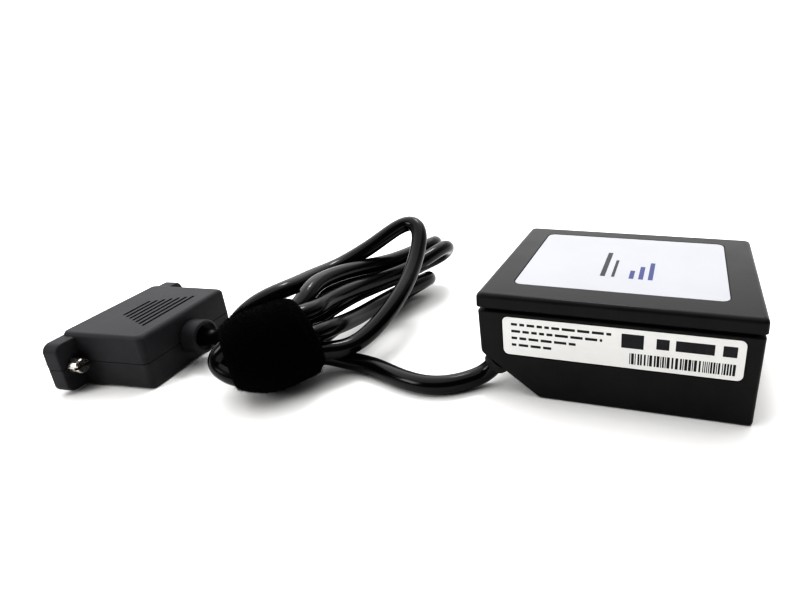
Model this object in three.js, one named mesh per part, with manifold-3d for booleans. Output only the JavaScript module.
// Fixed-mount bar-code scanner module with its lead, tied in a hank, and its 25-way plug.
// Millimetres, +Z up. The origin is the middle of the module's base, on the surface it stands on.
// +X is the reading window's end, -Y is the long side with the rating label.

import * as THREE from "three";
import { ConvexGeometry } from "three/addons/geometries/ConvexGeometry.js";
import { mergeVertices } from "three/addons/utils/BufferGeometryUtils.js";
import Module from "manifold-3d";

const wasm = await Module();
wasm.setup();

// ---- Module housing ----
const LENGTH = 84; // along X, at the cover
const WIDTH = 68; // along Y, at the cover
const HEIGHT = 35;
const BASE_TOP = 29.1; // rim that the gasket lies on
const COVER_BOTTOM = 30.4;
const COVER_OVERHANG = 0.3; // cover beyond the base's rim, each side
const DRAFT = 0.5; // how far each base wall leans in from rim to floor
const WALL = 2.8;
const FLOOR = 2.4;
const CORNER_RADIUS = 1.3;
const COVER_EDGE_RADIUS = 1.6;
const BOTTOM_EDGE = 0.9;
const COVER_PLATE = 2;
const SLOPE_TOP_Z = 14.4; // sloping face at the -X end, where the cable comes out
const SLOPE_FOOT_X = -22.7;
const SLOPE_WALL = 2.4;
const FIT = 0.2; // gap between pieces that lie on or in each other

const BASE_HALF_X = LENGTH / 2 - COVER_OVERHANG;
const BASE_HALF_Y = WIDTH / 2 - COVER_OVERHANG;
const CAVITY_HALF_X = BASE_HALF_X - WALL;
const CAVITY_HALF_Y = BASE_HALF_Y - WALL;
const COVER_CEILING = HEIGHT - COVER_PLATE;

// ---- Cover screws, one at each corner, driven from below ----
const SCREW_X = [-16.5, 35.2];
const SCREW_Y = [-27.2, 27.2];
const POST_TOP = 22;
const POST_RADIUS = 3.8;
const COVER_POST_RADIUS = 3.3;
const SCREW_RADIUS = 1.25;
const SCREW_TOP = 27.5;
const HEAD_RADIUS = 2.5;
const HEAD_SEAT = 3.1;

// ---- Threaded inserts for mounting, in the base ----
const INSERT_X = [-10, 30];
const INSERT_Y = [-16, 16];
const INSERT_RADIUS = 2.1;
const INSERT_BORE = 1.25;
const INSERT_TOP = 3.6;
const INSERT_BOSS_RADIUS = 3.6;

// ---- Labels ----
const TOP_LABEL = { x: -0.25, y: 1.25, width: 64.9, height: 50.6, radius: 2.5, thickness: 0.25 };
const SIDE_LABEL = { x: 1.6, z: 21.4, width: 70.6, height: 13, radius: 1.8, thickness: 0.2 };
const LABEL_MARGIN = 0.3;
const LABEL_RECESS = 0.35;

// ---- Optics, along X at one height ----
const AXIS_Z = 15.5;
const WINDOW = { halfY: 22.4, halfZ: 9.3, seatX: 38.8, gasket: 0.5, pane: 1.5 };
const OPENING = { halfY: 20.3, halfZ: 7.5 };
const FRAME_HALF_Y = 23.2;
const FRAME_INNER_X = 36.6;
const BARREL = { radius: 6, bore: 4.8, start: -1, end: 13 };
const SENSOR = { x: -15.5, depth: 2.6, halfY: 15.5, halfZ: 4.6 };
const LED_BOARD = { x: 31, thickness: 1.2, halfY: 22.4, bottom: 7.2, top: 25.4 };
const LED_Y = [-14, 0, 14];
const LED_Z = [10.2, 20.8];
const LED_RADIUS = 1.5;

// ---- Main board ----
const BOARD = { bottom: 5, thickness: 1.6, minX: -12.4, maxX: 31, halfY: 30.1 };
const BOARD_TOP = BOARD.bottom + BOARD.thickness;
const BOARD_SCREW_X = [-9.5, 27.5];
const BOARD_SCREW_Y = [-24.5, 24.5];
const BOARD_SCREW_RADIUS = 0.85;

// ---- Lead: one round cable, tied in a hank on its way to the plug ----
const CABLE_RADIUS = 3.1;
const CABLE_SIDES = 10;
const GLAND_Y = -28.6;
const GLAND_DOWN = 6.4; // down the sloping face from its upper edge
const GLAND_HEIGHT = 3.6;
const GLAND_RADIUS = 4.6;
const NECK_RADIUS = 3.4;
const INNER_FLANGE = { radius: 4.1, thickness: 1.4 };
const STRAP = { x: -108.05, y: -44.2, z: 15, axis: [0.55, 0.83, 0.08], thickness: 2.4, gap: 0.3 };
// The strap's outside, as [distance along its axis, radius], from the plug's side to the loops' side.
const STRAP_OUTLINE = [
  [-13.5, 11.6],
  [-9, 13.3],
  [-4, 14.6],
  [0.5, 14.9],
  [5, 14.8],
  [9.5, 14.2],
];

// ---- Plug: 25-way D connector in a two-part hood ----
const PLUG = { x: -180.35, y: -40.93, z: 9.85, yaw: 0.0933 };
const HOOD_DEPTH = 30.2;
const HOOD_HALF_Y = 20.6;
const HOOD_HALF_Z = 9.8;
const EAR_HALF_Y = 27.75;
const EAR_HALF_Z = 8.7;
const EAR_DEPTH = 5.2;
const HOOD_WALL = 1.6;
const FLANGE = { halfY: 26.5, halfZ: 6.25, front: 0.2, back: 1.2 };
const JACK_Y = 23.52;
const JACK_RADIUS = 1.35;
const JACK_HEAD_RADIUS = 2.6;
const BOSS = { radius: 6.1, end: 36.3 };
const GRIP = { count: 7, pitch: 2.2, lastX: 23.8, longest: 24.5, taper: 2.1, depth: 0.5, width: 0.9 };

const part = new THREE.Group();

// ---- Materials ----
function material(color, roughness, metalness = 0, extra = {}) {
  return new THREE.MeshStandardMaterial({ color, roughness, metalness, ...extra });
}

const paint = material(0x1b1919, 0.45, 0.1);
const blackPlastic = material(0x111112, 0.7);
const hoodPlastic = material(0x2e2d30, 0.75);
const cablePlastic = material(0x0d0d0f, 0.25);
const rubber = material(0x0a0a0a, 0.85);
const hookAndLoop = material(0x050505, 1);
const labelFilm = material(0xe9edf2, 0.4);
const boardGreen = material(0x1e5a33, 0.5);
const chipBlack = material(0x141414, 0.4);
const steel = material(0xb9b6ad, 0.3, 1);
const brass = material(0xc8a24a, 0.35, 1);
const ceramic = material(0x6b6470, 0.35);
const clearGlass = material(0xdde8ee, 0.05, 0, { transparent: true, opacity: 0.4 });
const redGlass = material(0x7a0c10, 0.08, 0, { transparent: true, opacity: 0.6 });
const redLed = material(0xd8242a, 0.2);
const whitePlastic = material(0xe8e4d8, 0.5);

// ---- Solids: joined and cut as manifolds, shown as three.js geometry ----
function toSolid(geometry) {
  const bare = geometry.clone();
  bare.deleteAttribute("normal");
  bare.deleteAttribute("uv");
  const merged = mergeVertices(bare, 1e-4);
  const mesh = new wasm.Mesh({
    numProp: 3,
    vertProperties: merged.attributes.position.array,
    triVerts: new Uint32Array(merged.index.array),
  });
  return new wasm.Manifold(mesh);
}

function toGeometry(solid) {
  const mesh = solid.getMesh();
  const geometry = new THREE.BufferGeometry();
  geometry.setAttribute("position", new THREE.BufferAttribute(mesh.vertProperties, 3));
  geometry.setIndex(new THREE.BufferAttribute(mesh.triVerts, 1));
  const flat = geometry.toNonIndexed();
  flat.computeVertexNormals();
  return flat;
}

function combine(base, added, removed = []) {
  let solid = toSolid(base);
  for (const geometry of added) solid = solid.add(toSolid(geometry));
  for (const geometry of removed) solid = solid.subtract(toSolid(geometry));
  return toGeometry(solid);
}

function within(base, limit) {
  return toGeometry(toSolid(base).intersect(toSolid(limit)));
}

function addNode(name, geometry, finish, parent = part) {
  const mesh = new THREE.Mesh(geometry, finish);
  mesh.name = name;
  parent.add(mesh);
  return mesh;
}

// ---- Plain shapes, each placed by its limits ----
function box(x0, x1, y0, y1, z0, z1) {
  const geometry = new THREE.BoxGeometry(x1 - x0, y1 - y0, z1 - z0);
  return geometry.translate((x0 + x1) / 2, (y0 + y1) / 2, (z0 + z1) / 2);
}

function centredBox(x0, x1, halfY, halfZ, midY = 0, midZ = 0) {
  return box(x0, x1, midY - halfY, midY + halfY, midZ - halfZ, midZ + halfZ);
}

function uprightCylinder(radius, x, y, z0, z1, sides = 16) {
  const geometry = new THREE.CylinderGeometry(radius, radius, z1 - z0, sides);
  return geometry.rotateX(Math.PI / 2).translate(x, y, (z0 + z1) / 2);
}

function cylinderAlongX(radius, x0, x1, y, z, sides = 20) {
  const geometry = new THREE.CylinderGeometry(radius, radius, x1 - x0, sides);
  return geometry.rotateZ(Math.PI / 2).translate((x0 + x1) / 2, y, z);
}

// A profile of [radius, height] points, from the bottom up, turned about +Z.
function turned(profile, sides = 20) {
  const points = profile.map(([radius, height]) => new THREE.Vector2(radius, height));
  return new THREE.LatheGeometry(points, sides).rotateX(Math.PI / 2);
}

// The corners of a rectangle with rounded corners, at one height.
function roundedRing(x0, x1, halfY, radius, z) {
  const points = [];
  const steps = 3;
  const centres = [
    [x1 - radius, halfY - radius, 0],
    [x0 + radius, halfY - radius, 1],
    [x0 + radius, radius - halfY, 2],
    [x1 - radius, radius - halfY, 3],
  ];
  for (const [x, y, quarter] of centres) {
    for (let step = 0; step <= steps; step += 1) {
      const angle = ((quarter + step / steps) * Math.PI) / 2;
      const point = new THREE.Vector3(x + radius * Math.cos(angle), y + radius * Math.sin(angle), z);
      points.push(point);
    }
  }
  return points;
}

function roundedRectangle(width, height, radius) {
  const shape = new THREE.Shape();
  const x = width / 2 - radius;
  const y = height / 2 - radius;
  shape.absarc(x, y, radius, 0, Math.PI / 2);
  shape.absarc(-x, y, radius, Math.PI / 2, Math.PI);
  shape.absarc(-x, -y, radius, Math.PI, 1.5 * Math.PI);
  shape.absarc(x, -y, radius, 1.5 * Math.PI, 2 * Math.PI);
  shape.closePath();
  return shape;
}

function plate(width, height, radius, thickness) {
  const shape = roundedRectangle(width, height, radius);
  const settings = { depth: thickness, bevelEnabled: false, curveSegments: 2 };
  return new THREE.ExtrudeGeometry(shape, settings);
}

function frameRing(outerX, outerY, innerX, innerY, z0, z1) {
  const outer = new ConvexGeometry([
    ...roundedRing(-outerX, outerX, outerY, CORNER_RADIUS, z0),
    ...roundedRing(-outerX, outerX, outerY, CORNER_RADIUS, z1),
  ]);
  return combine(outer, [], [box(-innerX, innerX, -innerY, innerY, z0 - 1, z1 + 1)]);
}

// ---- Housing ----
const slopeTop = new THREE.Vector3(-BASE_HALF_X + DRAFT / 2, 0, SLOPE_TOP_Z);
const slopeFoot = new THREE.Vector3(SLOPE_FOOT_X, 0, 0);
const slopeDown = slopeFoot.clone().sub(slopeTop).normalize();
const slopeOut = new THREE.Vector3(slopeDown.z, 0, -slopeDown.x);

// How far a base wall has leaned in at a height.
function lean(z) {
  return (DRAFT * (BASE_TOP - z)) / BASE_TOP;
}

function baseOutside() {
  const points = [];
  for (const z of [BASE_TOP, SLOPE_TOP_Z]) {
    const halfX = BASE_HALF_X - lean(z);
    points.push(...roundedRing(-halfX, halfX, BASE_HALF_Y - lean(z), CORNER_RADIUS, z));
  }
  for (const [z, inset] of [[BOTTOM_EDGE, 0], [BOTTOM_EDGE * 0.3, BOTTOM_EDGE * 0.3], [0, BOTTOM_EDGE]]) {
    const startX = SLOPE_FOOT_X + (slopeTop.x - SLOPE_FOOT_X) * (z / SLOPE_TOP_Z);
    const endX = BASE_HALF_X - lean(z) - inset;
    points.push(...roundedRing(startX, endX, BASE_HALF_Y - lean(z) - inset, CORNER_RADIUS, z));
  }
  return new ConvexGeometry(points);
}

function baseCavity() {
  const offset = slopeOut.x * slopeTop.x + slopeOut.z * slopeTop.z - SLOPE_WALL;
  const floorX = (offset - slopeOut.z * FLOOR) / slopeOut.x;
  const wallZ = (offset + slopeOut.x * CAVITY_HALF_X) / slopeOut.z;
  const points = [];
  for (const [startX, z] of [[-CAVITY_HALF_X, BASE_TOP + 1], [-CAVITY_HALF_X, wallZ], [floorX, FLOOR]]) {
    points.push(...roundedRing(startX, CAVITY_HALF_X, CAVITY_HALF_Y, CORNER_RADIUS, z));
  }
  return new ConvexGeometry(points);
}

function eachCorner(xs, ys, make) {
  return xs.flatMap((x) => ys.map((y) => make(x, y)));
}

// Turns a shape made along +Z about the origin so that it lies along a direction from a point.
function alongDirection(geometry, direction, point) {
  const turn = new THREE.Quaternion().setFromUnitVectors(new THREE.Vector3(0, 0, 1), direction);
  return geometry.applyQuaternion(turn).translate(point.x, point.y, point.z);
}

const glandSeat = slopeTop.clone().addScaledVector(slopeDown, GLAND_DOWN).setY(GLAND_Y);

// Lays a flat shape, made in XY, on the base's long -Y side at its lean; lift is outwards.
function onLongSide(geometry, lift) {
  const tilt = Math.atan(DRAFT / BASE_TOP);
  const faceY = -(BASE_HALF_Y - lean(SIDE_LABEL.z));
  geometry.translate(0, 0, lift).rotateX(Math.PI / 2 + tilt);
  return geometry.translate(SIDE_LABEL.x, faceY, SIDE_LABEL.z);
}

function labelPocket(label) {
  const margin = 2 * LABEL_MARGIN;
  return plate(label.width + margin, label.height + margin, label.radius + LABEL_MARGIN, 2);
}

function addBase() {
  const outsideX = BASE_HALF_X + 1;
  const bossTop = BOARD.bottom - 0.3;
  const postTop = BOARD.bottom - 0.1;
  const postRadius = 2.2;
  const screwBore = SCREW_RADIUS + FIT;
  const headBore = HEAD_RADIUS + 0.3;
  const insertBore = INSERT_RADIUS + FIT;
  const threadBore = BOARD_SCREW_RADIUS + 0.15;
  const added = [
    ...eachCorner(SCREW_X, SCREW_Y, (x, y) => uprightCylinder(POST_RADIUS, x, y, 1, POST_TOP)),
    ...eachCorner(INSERT_X, INSERT_Y, (x, y) => uprightCylinder(INSERT_BOSS_RADIUS, x, y, 1, bossTop)),
    ...eachCorner(BOARD_SCREW_X, BOARD_SCREW_Y, (x, y) => uprightCylinder(postRadius, x, y, 1, postTop)),
    centredBox(FRAME_INNER_X, CAVITY_HALF_X + 0.5, FRAME_HALF_Y, 11.2, 0, AXIS_Z),
  ];
  const removed = [
    ...eachCorner(SCREW_X, SCREW_Y, (x, y) => uprightCylinder(screwBore, x, y, -1, POST_TOP + 1, 12)),
    ...eachCorner(SCREW_X, SCREW_Y, (x, y) => uprightCylinder(headBore, x, y, -1, HEAD_SEAT + FIT)),
    ...eachCorner(INSERT_X, INSERT_Y, (x, y) => uprightCylinder(insertBore, x, y, -1, INSERT_TOP + FIT)),
    ...eachCorner(BOARD_SCREW_X, BOARD_SCREW_Y, (x, y) => uprightCylinder(threadBore, x, y, 3, 5.5, 12)),
    centredBox(WINDOW.seatX, outsideX, WINDOW.halfY + FIT, WINDOW.halfZ + FIT, 0, AXIS_Z),
    centredBox(FRAME_INNER_X - 1, outsideX, OPENING.halfY, OPENING.halfZ, 0, AXIS_Z),
    alongDirection(uprightCylinder(NECK_RADIUS + FIT, 0, 0, -SLOPE_WALL - 0.4, 2), slopeOut, glandSeat),
    onLongSide(labelPocket(SIDE_LABEL), -LABEL_RECESS),
  ];
  const shell = combine(baseOutside(), [], [baseCavity()]);
  addNode("base_housing", combine(shell, added, removed), paint);
}

function coverOutside() {
  const points = roundedRing(-LENGTH / 2, LENGTH / 2, WIDTH / 2, CORNER_RADIUS, COVER_BOTTOM);
  const steps = 4;
  for (let step = 0; step <= steps; step += 1) {
    const angle = (step / steps) * (Math.PI / 2);
    const inset = COVER_EDGE_RADIUS * (1 - Math.cos(angle));
    const z = HEIGHT - COVER_EDGE_RADIUS * (1 - Math.sin(angle));
    const halfX = LENGTH / 2 - inset;
    points.push(...roundedRing(-halfX, halfX, WIDTH / 2 - inset, CORNER_RADIUS, z));
  }
  return new ConvexGeometry(points);
}

function addCover() {
  const lipX = CAVITY_HALF_X - FIT;
  const lipY = CAVITY_HALF_Y - FIT;
  const lipWall = 1.2;
  const lipBottom = 27.5;
  const hollow = box(-lipX, lipX, -lipY, lipY, COVER_BOTTOM - 1, COVER_CEILING);
  const lip = frameRing(lipX, lipY, lipX - lipWall, lipY - lipWall, lipBottom, COVER_CEILING + 0.5);
  const posts = eachCorner(SCREW_X, SCREW_Y, (x, y) =>
    uprightCylinder(COVER_POST_RADIUS, x, y, POST_TOP + FIT, COVER_CEILING + 0.5),
  );
  const bores = eachCorner(SCREW_X, SCREW_Y, (x, y) =>
    uprightCylinder(SCREW_RADIUS + 0.1, x, y, POST_TOP - 1, SCREW_TOP + 0.5, 12),
  );
  const pocket = labelPocket(TOP_LABEL).translate(TOP_LABEL.x, TOP_LABEL.y, HEIGHT - LABEL_RECESS);
  const shell = combine(coverOutside(), [], [hollow, pocket]);
  addNode("top_cover", combine(shell, [lip, ...posts], bores), paint);
}

function addGasket() {
  const outerInset = 1.6;
  const ring = frameRing(
    BASE_HALF_X - outerInset,
    BASE_HALF_Y - outerInset,
    CAVITY_HALF_X + 0.1,
    CAVITY_HALF_Y + 0.1,
    BASE_TOP + 0.1,
    COVER_BOTTOM - 0.1,
  );
  addNode("cover_gasket", ring, rubber);
}

function addLabels() {
  const top = plate(TOP_LABEL.width, TOP_LABEL.height, TOP_LABEL.radius, TOP_LABEL.thickness);
  const topZ = HEIGHT - LABEL_RECESS + 0.05;
  addNode("top_label", top.translate(TOP_LABEL.x, TOP_LABEL.y, topZ), labelFilm);
  const side = plate(SIDE_LABEL.width, SIDE_LABEL.height, SIDE_LABEL.radius, SIDE_LABEL.thickness);
  addNode("side_label", onLongSide(side, -LABEL_RECESS + 0.1), labelFilm);
}

// A screw along +Z from its slotted head's underside upwards; the head hangs below.
function screw(radius, length, headRadius, headHeight) {
  const slot = box(-headRadius * 2, headRadius * 2, -0.35, 0.35, -headHeight - 1, -headHeight + 0.7);
  const profile = [
    [0, -headHeight],
    [headRadius - 0.4, -headHeight],
    [headRadius, -headHeight + 0.4],
    [headRadius, 0],
    [radius, 0],
    [radius, length],
    [0, length],
  ];
  return combine(turned(profile, 12), [], [slot]);
}

function addFasteners() {
  eachCorner(SCREW_X, SCREW_Y, (x, y) => [x, y]).forEach(([x, y], index) => {
    const body = screw(SCREW_RADIUS, SCREW_TOP - HEAD_SEAT, HEAD_RADIUS, 2);
    addNode(`cover_screw_${index + 1}`, body, steel).position.set(x, y, HEAD_SEAT);
  });
  eachCorner(BOARD_SCREW_X, BOARD_SCREW_Y, (x, y) => [x, y]).forEach(([x, y], index) => {
    const body = screw(BOARD_SCREW_RADIUS, 3.3, 1.9, 1.2).rotateX(Math.PI);
    addNode(`board_screw_${index + 1}`, body, steel).position.set(x, y, BOARD_TOP + 0.1);
  });
  eachCorner(INSERT_X, INSERT_Y, (x, y) => [x, y]).forEach(([x, y], index) => {
    const low = 0.2;
    const profile = [
      [INSERT_BORE, low],
      [INSERT_RADIUS, low],
      [INSERT_RADIUS, INSERT_TOP],
      [INSERT_BORE, INSERT_TOP],
      [INSERT_BORE, low],
    ];
    addNode(`mounting_insert_${index + 1}`, turned(profile, 16), brass).position.set(x, y, 0);
  });
}

// ---- Optics ----
function addWindow() {
  const gasketX = WINDOW.seatX + 0.1;
  const gasket = centredBox(gasketX, gasketX + WINDOW.gasket, WINDOW.halfY, WINDOW.halfZ, 0, AXIS_Z);
  const hole = centredBox(gasketX - 1, gasketX + 2, OPENING.halfY, OPENING.halfZ, 0, AXIS_Z);
  addNode("window_gasket", combine(gasket, [], [hole]), rubber);
  const paneX = gasketX + WINDOW.gasket + 0.1;
  const pane = plate(2 * WINDOW.halfY, 2 * WINDOW.halfZ, 0.8, WINDOW.pane);
  pane.rotateX(Math.PI / 2).rotateZ(Math.PI / 2);
  addNode("reading_window", pane, redGlass).position.set(paneX, 0, AXIS_Z);
}

function addOpticalChassis() {
  const halfY = 12;
  const wallTop = 22;
  const plateBottom = 7.9;
  const plateTop = 9.4;
  const rear = [-12.5, -10.5];
  const front = [6, 10];
  const legBottom = BOARD_TOP + 0.1;
  const legs = eachCorner([-11, 8.5], [-10, 10], (x, y) => uprightCylinder(1.5, x, y, legBottom, 8.5, 10));
  const added = [
    box(rear[0], rear[1], -halfY, halfY, plateBottom, wallTop),
    box(front[0], front[1], -halfY, halfY, plateBottom, wallTop),
    box(rear[0], front[1], -halfY, -halfY + 1.5, plateBottom, wallTop),
    box(rear[0], front[1], halfY - 1.5, halfY, plateBottom, wallTop),
    ...legs,
  ];
  const removed = [
    cylinderAlongX(BARREL.radius + FIT, front[0] - 1, front[1] + 1, 0, AXIS_Z, 24),
    centredBox(rear[0] - 1, rear[1] + 1, 10, 2.5, 0, AXIS_Z),
  ];
  const floor = box(rear[0], front[1], -halfY, halfY, plateBottom, plateTop);
  addNode("optical_chassis", combine(floor, added, removed), blackPlastic);
}

function lensElement(radius, halfThickness, bulge) {
  const profile = [[0, -halfThickness - bulge]];
  for (const share of [0.6, 1]) {
    profile.push([radius * share, -halfThickness - bulge * (1 - share * share)]);
  }
  for (const share of [1, 0.6]) {
    profile.push([radius * share, halfThickness + bulge * (1 - share * share)]);
  }
  profile.push([0, halfThickness + bulge]);
  return turned(profile, 18).rotateY(Math.PI / 2);
}

function addLens() {
  const tube = cylinderAlongX(BARREL.radius, BARREL.start, BARREL.end, 0, 0, 24);
  const bore = cylinderAlongX(BARREL.bore, BARREL.start - 1, BARREL.end + 1, 0, 0, 24);
  addNode("lens_barrel", combine(tube, [], [bore]), blackPlastic).position.z = AXIS_Z;
  const radius = BARREL.bore - FIT;
  addNode("lens_front_element", lensElement(radius, 0.8, 0.9), clearGlass).position.set(10, 0, AXIS_Z);
  addNode("lens_rear_element", lensElement(radius, 0.7, 0.6), clearGlass).position.set(2, 0, AXIS_Z);
}

function addSensor() {
  const end = SENSOR.x + SENSOR.depth;
  const body = centredBox(SENSOR.x, end, SENSOR.halfY, SENSOR.halfZ, 0, AXIS_Z);
  const glassPocket = centredBox(end - 0.6, end + 1, SENSOR.halfY - 1.5, 2.4, 0, AXIS_Z);
  addNode("line_sensor", combine(body, [], [glassPocket]), ceramic);
  const boardX = SENSOR.x - 0.1;
  addNode("sensor_board", centredBox(boardX - 1.6, boardX, 17, 8, 0, AXIS_Z), boardGreen);
}

function ledBody() {
  const length = 4;
  const dome = 1.5;
  const shoulder = Math.PI / 4;
  const profile = [
    [0, 0],
    [1.8, 0],
    [1.8, 0.7],
    [LED_RADIUS, 0.7],
    [LED_RADIUS, length - dome],
    [LED_RADIUS * Math.cos(shoulder), length - dome + dome * Math.sin(shoulder)],
    [0, length],
  ];
  return turned(profile, 12).rotateY(Math.PI / 2);
}

function addLighting() {
  const end = LED_BOARD.x + LED_BOARD.thickness;
  const board = box(LED_BOARD.x, end, -LED_BOARD.halfY, LED_BOARD.halfY, LED_BOARD.bottom, LED_BOARD.top);
  const slot = centredBox(LED_BOARD.x - 1, end + 1, 19, 3, 0, AXIS_Z);
  addNode("led_board", combine(board, [], [slot]), boardGreen);
  let number = 1;
  for (const z of LED_Z) {
    for (const y of LED_Y) {
      addNode(`led_${number}`, ledBody(), redLed).position.set(end + 0.1, y, z);
      number += 1;
    }
  }
  // Two clear bars with a rounded front spread the light of each row of lamps.
  const halfHeight = 1.6;
  const crownRadius = 1.9;
  const crownAngle = Math.asin(halfHeight / crownRadius);
  const bar = new THREE.Shape();
  bar.moveTo(-0.9, -halfHeight);
  bar.absarc(-crownRadius * Math.cos(crownAngle), 0, crownRadius, -crownAngle, crownAngle);
  bar.lineTo(-0.9, halfHeight);
  bar.closePath();
  const length = 2 * OPENING.halfY - 1;
  for (const [name, z] of [["light_lens_lower", 10.1], ["light_lens_upper", 20.9]]) {
    const settings = { depth: length, bevelEnabled: false, curveSegments: 8 };
    const body = new THREE.ExtrudeGeometry(bar, settings).translate(0, 0, -length / 2).rotateX(Math.PI / 2);
    addNode(name, body, clearGlass).position.set(37.6, 0, z);
  }
}

// ---- Electronics ----
function addMainBoard() {
  const board = box(BOARD.minX, BOARD.maxX, -BOARD.halfY, BOARD.halfY, BOARD.bottom, BOARD_TOP);
  const holes = eachCorner(BOARD_SCREW_X, BOARD_SCREW_Y, (x, y) => uprightCylinder(1.15, x, y, 4, 8, 12));
  addNode("main_board", combine(board, [], holes), boardGreen);
  const seat = BOARD_TOP + 0.1;
  addNode("processor_chip", box(15, 25, -5, 5, seat, seat + 1.5), chipBlack);
  const coil = [[0, 0], [4.2, 0], [4.2, 1], [3.4, 1.4], [3.4, 3.2], [4.2, 3.6], [4.2, 4.4], [0, 4.4]];
  addNode("power_inductor", turned(coil, 16), chipBlack).position.set(20, 16, seat);
  const can = [[0, 0], [2.6, 0], [2.6, 0.8], [2.45, 1], [2.6, 1.2], [2.6, 7], [2.3, 7.2], [0, 7.2]];
  [-4, 3.5].forEach((x, index) => {
    addNode(`smoothing_capacitor_${index + 1}`, turned(can, 14), steel).position.set(x, 18, seat);
  });
  const header = box(-0.5, 5.5, -27.5, -20.5, seat, seat + 6);
  const mouth = box(-1.5, 2.5, -26.7, -21.3, seat + 0.8, seat + 5.2);
  addNode("board_header", combine(header, [], [mouth]), whitePlastic);
  const plugNose = box(-2.5, 2.2, -26.4, -21.6, seat + 1.1, seat + 4.9);
  const plugBody = box(-4.5, -0.8, -26.9, -21.1, seat + 0.8, seat + 5.2);
  addNode("harness_plug", combine(plugNose, [plugBody]), whitePlastic);
}

// ---- Cable gland and lead ----
function addGland() {
  const innerFace = -SLOPE_WALL - FIT;
  const profile = [
    [0, innerFace - INNER_FLANGE.thickness],
    [INNER_FLANGE.radius, innerFace - INNER_FLANGE.thickness],
    [INNER_FLANGE.radius, innerFace],
    [NECK_RADIUS, innerFace],
    [NECK_RADIUS, FIT],
    [GLAND_RADIUS, FIT],
    [GLAND_RADIUS, 1.6],
    [GLAND_RADIUS - 0.5, GLAND_HEIGHT - 0.4],
    [GLAND_RADIUS - 1, GLAND_HEIGHT],
    [0, GLAND_HEIGHT],
  ];
  const bushing = alongDirection(turned(profile), slopeOut, glandSeat);
  // Inside, the flange is cut flat where it comes to the side wall.
  const inside = alongDirection(box(-9, 9, -9, 9, innerFace - 9, -0.2), slopeOut, glandSeat);
  const wallSide = within(inside, box(-60, 0, -60, -CAVITY_HALF_Y + 3 * FIT, 0, 40));
  const neck = alongDirection(uprightCylinder(NECK_RADIUS, 0, 0, innerFace, 0), slopeOut, glandSeat);
  addNode("cable_gland", combine(bushing, [], [combine(wallSide, [], [neck])]), rubber);
}

function tube(points, radius, sides, steps) {
  const section = new THREE.Shape();
  for (let side = 0; side < sides; side += 1) {
    const angle = (side / sides) * 2 * Math.PI;
    const [x, y] = [radius * Math.cos(angle), radius * Math.sin(angle)];
    if (side === 0) section.moveTo(x, y);
    else section.lineTo(x, y);
  }
  section.closePath();
  const path = new THREE.CatmullRomCurve3(points.map((p) => new THREE.Vector3(...p)));
  return new THREE.ExtrudeGeometry(section, { steps, extrudePath: path, bevelEnabled: false });
}

// From the board's harness plug up to the gland, inside the housing.
const INNER_LEAD = [
  [-33.7, -28.6, 14],
  [-32, -28.3, 16.1],
  [-28.5, -26.6, 18.2],
  [-23.5, -23.2, 17.6],
  [-18, -20.4, 15],
  [-13, -20.7, 12.6],
  [-8.8, -22.9, 10.9],
  [-5.6, -24, 9.9],
];

// From the gland down to the surface and along it to the hank.
const LEAD_TO_MODULE = [
  [-38.8, -28.6, 7.35],
  [-40.2, -28.75, 5.55],
  [-42.5, -29.9, 3.95],
  [-45.8, -32.5, 3.25],
  [-49.6, -35.6, 3.12],
  [-54, -37.9, 3.12],
  [-59, -38.7, 3.12],
  [-64.5, -38.1, 3.12],
  [-71, -36.3, 3.12],
  [-77.5, -33.9, 3.12],
  [-82.5, -31.8, 3.12],
  [-86.5, -31.2, 3.15],
];

// From the tallest loop past the strap's far side to the plug's boss.
const LEAD_TO_PLUG = [
  [-117.5, -24.9, 25.4],
  [-119.5, -30.6, 25.2],
  [-123.6, -35.9, 23.2],
  [-126.9, -38.9, 19.6],
  [-130.2, -39.9, 15],
  [-134, -39.4, 11.4],
  [-138.2, -38, 10],
  [-142, -37.5, 9.85],
  [-143.55, -37.48, 9.85],
];

// Outline of the four long loops beyond the strap: centre points of the outermost cable.
const FAR_LOOPS = [
  [-107.4, -26.6, 26.8],
  [-116.3, -19.3, 25.2],
  [-115.2, -8.5, 24.4],
  [-102.5, 14.4, 31],
  [-91.2, 22.4, 37.8],
  [-86.9, 21.6, 37.4],
  [-84, 17.8, 33],
  [-82.4, -1.2, 21.5],
  [-83.2, -16.2, 15.2],
  [-88.8, -30.6, 9.6],
  [-92, -33.2, 4.6],
  [-93, -36.8, 7.6],
  [-103, -24, 7.5],
  [-102.3, 6.3, 5],
  [-99.5, 26, 3.3],
  [-95, 36, 4.6],
  [-86, 46, 21.3],
  [-93.4, 52, 18.4],
  [-97.2, 51, 14.1],
  [-103, 43, 11.4],
  [-111.7, -9.6, 19],
];

// Outline of the one fold that shows at the strap's end on the plug's side.
const NEAR_FOLD = [
  [-110.1, -50.5, 9],
  [-114.5, -54, 8.2],
  [-120.5, -55.6, 9],
  [-125, -54.3, 11.4],
  [-125.2, -52.6, 15],
  [-121.5, -50.6, 17.6],
  [-116, -47.6, 18.6],
];

// The hull of a cable's radius about each point.
function hullAbout(centres) {
  const points = [];
  const ball = new THREE.IcosahedronGeometry(CABLE_RADIUS, 0).attributes.position;
  for (const [x, y, z] of centres) {
    for (let index = 0; index < ball.count; index += 1) {
      const point = new THREE.Vector3().fromBufferAttribute(ball, index);
      points.push(point.add(new THREE.Vector3(x, y, z)));
    }
  }
  return new ConvexGeometry(points);
}

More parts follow.
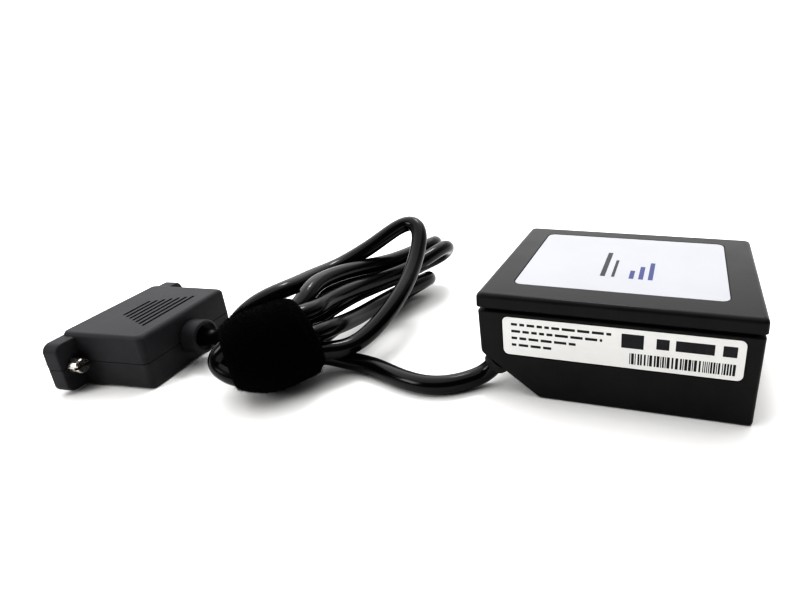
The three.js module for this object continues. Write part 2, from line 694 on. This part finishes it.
// The wound strap as one ring; a margin makes the ring larger on every side.
function strapRing(margin) {
  const lastIndex = STRAP_OUTLINE.length - 1;
  const outside = STRAP_OUTLINE.map(([along, radius], index) => {
    const end = (index === lastIndex) - (index === 0);
    return [radius + margin, along + end * margin];
  });
  const inside = outside.map(([radius, along]) => [radius - STRAP.thickness - 2 * margin, along]);
  return turned([...outside, ...inside.reverse(), outside[0]], 24);
}

// What fills the strap: the strands that it holds together.
function strandsInStrap() {
  const profile = STRAP_OUTLINE.map(([along, radius]) => [radius - STRAP.thickness - STRAP.gap, along]);
  const [nearest] = profile;
  const farthest = profile[profile.length - 1];
  const beyond = farthest[1] + 4;
  return turned([[0, nearest[1]], ...profile, [farthest[0], beyond], [0, beyond]], 24);
}

function addCord() {
  addNode("inner_lead", tube(INNER_LEAD, 2, 8, 10), cablePlastic);
  addNode("lead_to_module", tube(LEAD_TO_MODULE, CABLE_RADIUS, CABLE_SIDES, 14), cablePlastic);
  addNode("lead_to_plug", tube(LEAD_TO_PLUG, CABLE_RADIUS, CABLE_SIDES, 12), cablePlastic);
  const axis = new THREE.Vector3(...STRAP.axis).normalize();
  const middle = new THREE.Vector3(STRAP.x, STRAP.y, STRAP.z);
  const hank = combine(
    hullAbout(FAR_LOOPS),
    [hullAbout(NEAR_FOLD), alongDirection(strandsInStrap(), axis, middle)],
    [alongDirection(strapRing(STRAP.gap), axis, middle)],
  );
  addNode("cord_hank", hank, cablePlastic);
  addNode("cable_strap", alongDirection(strapRing(0), axis, middle), hookAndLoop);
}

// ---- Plug: made in its own frame, mating face at x = 0, cable side at +x ----
const plug = new THREE.Group();
plug.position.set(PLUG.x, PLUG.y, PLUG.z);
plug.rotation.z = PLUG.yaw;
part.add(plug);

function hoodOutside() {
  const bodyPoints = [];
  const round = 1.6;
  for (const [x, shrink] of [[0, 0.2], [HOOD_DEPTH - round, 0], [HOOD_DEPTH, round]]) {
    for (const [y, z] of [
      [HOOD_HALF_Y, HOOD_HALF_Z - round],
      [HOOD_HALF_Y - 0.5, HOOD_HALF_Z - 0.5],
      [HOOD_HALF_Y - round, HOOD_HALF_Z],
    ]) {
      for (const side of [-1, 1]) {
        for (const level of [-1, 1]) {
          bodyPoints.push(new THREE.Vector3(x, side * (y - shrink), level * (z - shrink)));
        }
      }
    }
  }
  const earShape = roundedRectangle(2 * EAR_HALF_Y, 2 * EAR_HALF_Z, 2.6);
  const settings = { depth: EAR_DEPTH, bevelEnabled: false, curveSegments: 2 };
  const ears = new THREE.ExtrudeGeometry(earShape, settings);
  ears.rotateX(Math.PI / 2).rotateZ(Math.PI / 2);
  return combine(new ConvexGeometry(bodyPoints), [ears]);
}

function hoodHollows() {
  const bossBore = cylinderAlongX(4.8, HOOD_DEPTH - 4, HOOD_DEPTH + 1, 0, 0);
  const hollows = [
    centredBox(-1, FLANGE.back + 0.3, FLANGE.halfY + FIT, FLANGE.halfZ + FIT),
    centredBox(0.5, HOOD_DEPTH - HOOD_WALL - 1, HOOD_HALF_Y - HOOD_WALL, HOOD_HALF_Z - HOOD_WALL),
    bossBore,
  ];
  for (const y of [-JACK_Y, JACK_Y]) {
    hollows.push(cylinderAlongX(JACK_RADIUS + 0.3, 0, EAR_DEPTH + 1, y, 0));
    hollows.push(cylinderAlongX(2.9, 0, EAR_DEPTH - 1, y, 0));
  }
  return hollows;
}

// Short parallel grooves for the fingers, longest on the cable side.
function gripGrooves() {
  const grooves = [];
  for (let index = 0; index < GRIP.count; index += 1) {
    const x = GRIP.lastX - index * GRIP.pitch;
    const half = (GRIP.longest - index * GRIP.taper) / 2;
    const low = HOOD_HALF_Z - GRIP.depth;
    grooves.push(box(x - GRIP.width / 2, x + GRIP.width / 2, -half, half, low, HOOD_HALF_Z + 1));
  }
  return grooves;
}

function addHood() {
  const hood = combine(hoodOutside(), [], [...hoodHollows(), ...gripGrooves()]);
  const partingGap = 0.1;
  const upper = within(hood, box(-5, 50, -40, 40, partingGap, 20));
  const lower = within(hood, box(-5, 50, -40, 40, -20, -partingGap));
  addNode("hood_upper", upper, hoodPlastic, plug);
  addNode("hood_lower", lower, hoodPlastic, plug);
}

// The cable's moulded boss: a flange held inside the hood, a neck, and the round nose outside.
function addBoss() {
  const profile = [
    [0, 25.6],
    [6.4, 25.6],
    [6.4, 27.2],
    [4.6, 27.2],
    [4.6, HOOD_DEPTH + FIT],
    [BOSS.radius, HOOD_DEPTH + FIT],
    [BOSS.radius, BOSS.end - 0.8],
    [BOSS.radius - 0.8, BOSS.end],
    [0, BOSS.end],
  ];
  addNode("cable_boss", turned(profile, 24).rotateY(Math.PI / 2), hoodPlastic, plug);
}

// The D-shaped outline of the connector, its long side up.
function dShape(halfWidth, halfHeight) {
  const lean10 = Math.tan((10 * Math.PI) / 180) * halfHeight;
  const shape = new THREE.Shape();
  shape.moveTo(-halfWidth + lean10, -halfHeight);
  shape.lineTo(halfWidth - lean10, -halfHeight);
  shape.lineTo(halfWidth + lean10, halfHeight);
  shape.lineTo(-halfWidth - lean10, halfHeight);
  shape.closePath();
  return shape;
}

function dPrism(halfWidth, halfHeight, x0, x1) {
  const settings = { depth: x1 - x0, bevelEnabled: false };
  const prism = new THREE.ExtrudeGeometry(dShape(halfWidth, halfHeight), settings);
  return prism.rotateX(Math.PI / 2).rotateZ(Math.PI / 2).translate(x0, 0, 0);
}

const SHELL_FRONT = -5.8;
const SHELL_BACK = 5;

function addConnector() {
  const flange = centredBox(FLANGE.front, FLANGE.back, FLANGE.halfY, FLANGE.halfZ);
  const outside = dPrism(19.9, 4.7, SHELL_FRONT, FLANGE.back);
  const rear = dPrism(17.9, 5.2, FLANGE.front, SHELL_BACK);
  const removed = [dPrism(19.4, 4.2, SHELL_FRONT - 1, 0.5), dPrism(17.3, 3.6, -1, SHELL_BACK + 1)];
  for (const y of [-JACK_Y, JACK_Y]) removed.push(cylinderAlongX(JACK_RADIUS + 0.25, -1, 3, y, 0));
  addNode("connector_shell", combine(flange, [outside, rear], removed), steel, plug);

  const pinRadius = 0.5;
  const pinPitch = 2.76;
  const rowGap = 2.84;
  const pins = [];
  for (const [count, z] of [[13, rowGap / 2], [12, -rowGap / 2]]) {
    for (let index = 0; index < count; index += 1) {
      const y = (index - (count - 1) / 2) * pinPitch;
      pins.push(cylinderAlongX(pinRadius, SHELL_FRONT + 0.9, SHELL_BACK + 4, y, z, 6));
    }
  }
  const insert = dPrism(17.1, 3.4, -0.6, SHELL_BACK + 1);
  addNode("pin_insert", combine(insert, pins), blackPlastic, plug);
}

// A U-shaped bar that grips the cable's jacket inside the hood.
function addCableClamp() {
  const bar = box(20.4, 23.4, -7.5, 7.5, -5.6, 3);
  const trough = cylinderAlongX(CABLE_RADIUS + 0.2, 19, 25, 0, 0);
  const opening = box(19, 25, -CABLE_RADIUS - 0.2, CABLE_RADIUS + 0.2, 0, 5);
  addNode("cable_clamp", combine(bar, [], [trough, opening]), steel, plug);
}

// Captive screws: a long slotted head on the cable side, and a thread that reaches out in front.
function addJackscrews() {
  const headStart = EAR_DEPTH + 0.3;
  const headEnd = headStart + 3.6;
  const profile = [
    [0, -5.2],
    [JACK_RADIUS - 0.4, -5.2],
    [JACK_RADIUS, -4.8],
    [JACK_RADIUS, headStart],
    [JACK_HEAD_RADIUS, headStart],
    [JACK_HEAD_RADIUS, headEnd - 0.4],
    [JACK_HEAD_RADIUS - 0.4, headEnd],
    [0, headEnd],
  ];
  const clipX = 1.7;
  const clipProfile = [
    [JACK_RADIUS + 0.1, clipX],
    [2.5, clipX],
    [2.5, clipX + 0.6],
    [JACK_RADIUS + 0.1, clipX + 0.6],
    [JACK_RADIUS + 0.1, clipX],
  ];
  for (const [name, y] of [["jackscrew_near", -JACK_Y], ["jackscrew_far", JACK_Y]]) {
    const slot = box(headEnd - 0.9, headEnd + 1, -4, 4, -0.4, 0.4);
    const body = combine(turned(profile, 16).rotateY(Math.PI / 2), [], [slot]);
    addNode(name, body, steel, plug).position.y = y;
    const clip = turned(clipProfile, 16).rotateY(Math.PI / 2);
    addNode(`${name}_clip`, clip, steel, plug).position.y = y;
  }
}

addBase();
addCover();
addGasket();
addLabels();
addFasteners();
addWindow();
addOpticalChassis();
addLens();
addSensor();
addLighting();
addMainBoard();
addGland();
addCord();
addHood();
addBoss();
addConnector();
addCableClamp();
addJackscrews();

export default part;
